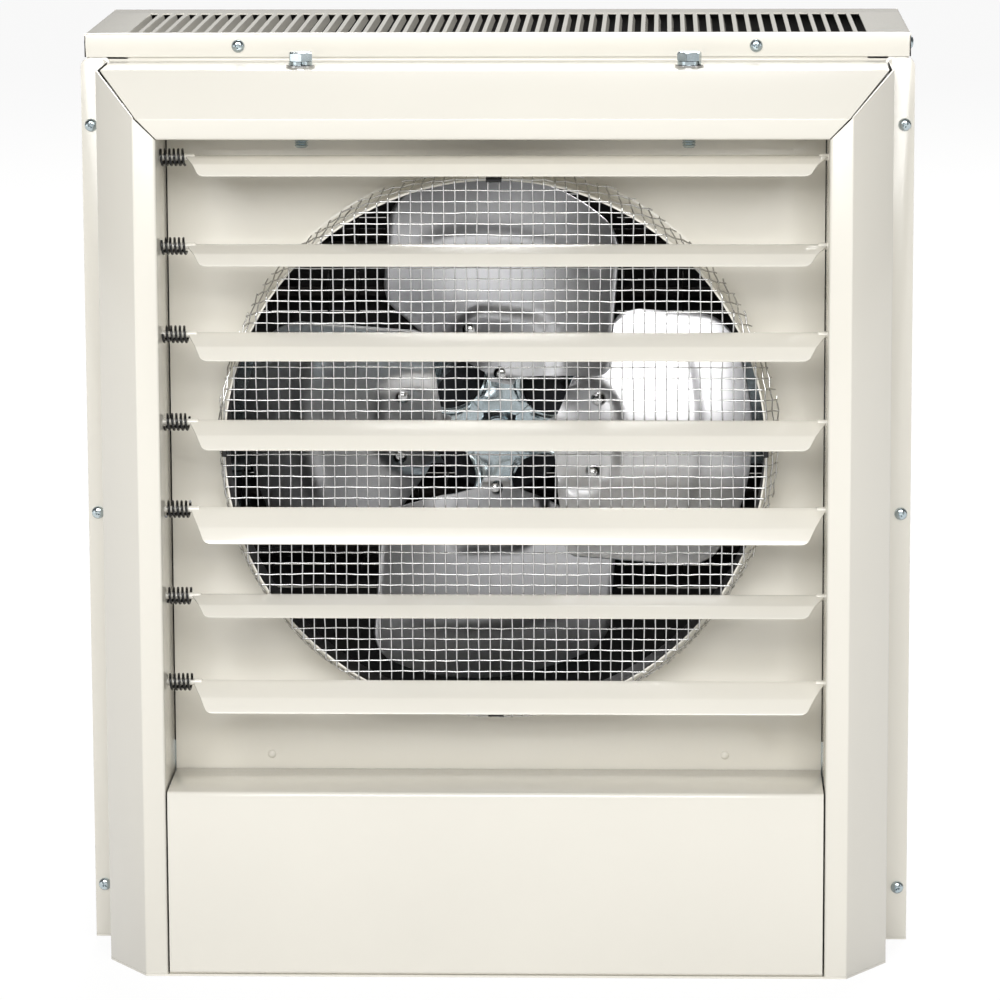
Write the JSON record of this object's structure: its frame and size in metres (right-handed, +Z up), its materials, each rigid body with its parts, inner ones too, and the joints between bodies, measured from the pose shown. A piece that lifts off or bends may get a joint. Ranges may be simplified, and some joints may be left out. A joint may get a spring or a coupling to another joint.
{
  "type": "electric unit heater",
  "caption": "Sheet-steel electric unit heater: bevelled outlet frame with sprung tilting louvers before a fan in a wire-guarded collar, slotted cover, and wiring compartment below.",
  "frame": {"origin": "centre of the bounding box in X and Y, on the plane of the cabinet's base", "axes": "+X to the right seen from the front, -Y out through the louvers, +Z up"},
  "size_m": [0.4826, 0.2564, 0.539],
  "materials": {
    "cream_paint": "satin baked enamel, warm white",
    "black_spring_steel": "black oiled spring steel",
    "bright_steel": "bright galvanised steel",
    "zinc_plate": "zinc plate, slightly green",
    "aluminium_sheet": "plain aluminium sheet",
    "dark_steel": "dark enamel",
    "copper": "enamelled copper winding",
    "element_sheath": "heat-darkened steel",
    "ceramic_white": "white steatite or moulding",
    "black_plastic": "black moulding",
    "red_insulation": "red silicone insulation",
    "black_insulation": "black silicone insulation"
  },
  "bodies": {
    "cabinet": {"bottom_pan": "cream_paint", "left_side_panel": "cream_paint", "right_side_panel": "cream_paint", "back_panel": "cream_paint", "top_cover": "cream_paint", "wiring_shelf": "zinc_plate", "fan_baffle": "cream_paint", "frame_top": "cream_paint", "frame_left": "cream_paint", "frame_right": "cream_paint", "access_panel": "cream_paint", "louver_springs": "black_spring_steel", "wire_guard": "bright_steel", "guard_clips": "black_spring_steel", "motor_stator": "dark_steel", "motor_windings": "copper", "motor_bearings": "bright_steel", "motor_shell": "dark_steel", "motor_cap": "dark_steel", "motor_bracket": "zinc_plate", "motor_screws": "bright_steel", "heating_element_1": "element_sheath", "heating_element_2": "element_sheath", "heating_element_3": "element_sheath", "element_plate": "zinc_plate", "element_support": "zinc_plate", "terminal_insulators": "ceramic_white", "limit_switch": "black_plastic", "contactor_base": "black_plastic", "transformer_core": "dark_steel", "transformer_coil": "copper", "fan_relay": "black_plastic", "terminal_block": "black_plastic", "ground_lug": "copper", "heater_wires": "red_insulation", "motor_wires": "black_insulation", "knockout_plug": "zinc_plate", "hanging_bolts": "zinc_plate", "lock_washers": "zinc_plate", "flat_washers": "bright_steel", "weld_nuts": "zinc_plate", "pan_screws": "zinc_plate", "panel_screws": "zinc_plate"},
    "fan": {"fan_hub": "zinc_plate", "fan_spider": "zinc_plate", "fan_blade_1": "aluminium_sheet", "fan_blade_2": "aluminium_sheet", "fan_blade_3": "aluminium_sheet", "fan_blade_4": "aluminium_sheet", "fan_rivets": "bright_steel", "fan_shaft": "bright_steel", "motor_rotor": "dark_steel"},
    "contactor_armature_slide": {"contactor_armature": "ceramic_white"},
    "louver_1_body": {"louver_1": "cream_paint"},
    "louver_2_body": {"louver_2": "cream_paint"},
    "louver_3_body": {"louver_3": "cream_paint"},
    "louver_4_body": {"louver_4": "cream_paint"},
    "louver_5_body": {"louver_5": "cream_paint"},
    "louver_6_body": {"louver_6": "cream_paint"},
    "louver_7_body": {"louver_7": "cream_paint"}
  },
  "joints": [
    {"name": "fan_spin", "type": "hinge", "parent": "cabinet", "child": "fan", "pos_m": [0, -0.0342, 0.3058], "axis": [0, -1, 0], "continuous": true},
    {"name": "louver_1_tilt", "type": "hinge", "parent": "cabinet", "child": "louver_1_body", "pos_m": [0, -0.1052, 0.4745], "axis": [1, 0, 0], "range_deg": [-28, 67]},
    {"name": "louver_2_tilt", "type": "hinge", "parent": "cabinet", "child": "louver_2_body", "pos_m": [0, -0.1052, 0.4237], "axis": [1, 0, 0], "range_deg": [-29, 66]},
    {"name": "louver_3_tilt", "type": "hinge", "parent": "cabinet", "child": "louver_3_body", "pos_m": [0, -0.1052, 0.3729], "axis": [1, 0, 0], "range_deg": [-39, 56]},
    {"name": "louver_4_tilt", "type": "hinge", "parent": "cabinet", "child": "louver_4_body", "pos_m": [0, -0.1052, 0.3221], "axis": [1, 0, 0], "range_deg": [-41, 54]},
    {"name": "louver_5_tilt", "type": "hinge", "parent": "cabinet", "child": "louver_5_body", "pos_m": [0, -0.1052, 0.2713], "axis": [1, 0, 0], "range_deg": [-54, 41]},
    {"name": "louver_6_tilt", "type": "hinge", "parent": "cabinet", "child": "louver_6_body", "pos_m": [0, -0.1052, 0.2205], "axis": [1, 0, 0], "range_deg": [-28, 67]},
    {"name": "louver_7_tilt", "type": "hinge", "parent": "cabinet", "child": "louver_7_body", "pos_m": [0, -0.1052, 0.1697], "axis": [1, 0, 0], "range_deg": [-45, 50]},
    {"name": "contactor_pull_in", "type": "slide", "parent": "cabinet", "child": "contactor_armature_slide", "axis": [0, 0, -1], "range_m": [0, 0.003], "stiffness_N_per_m": 400, "springref_m": -0.005}
  ]
}
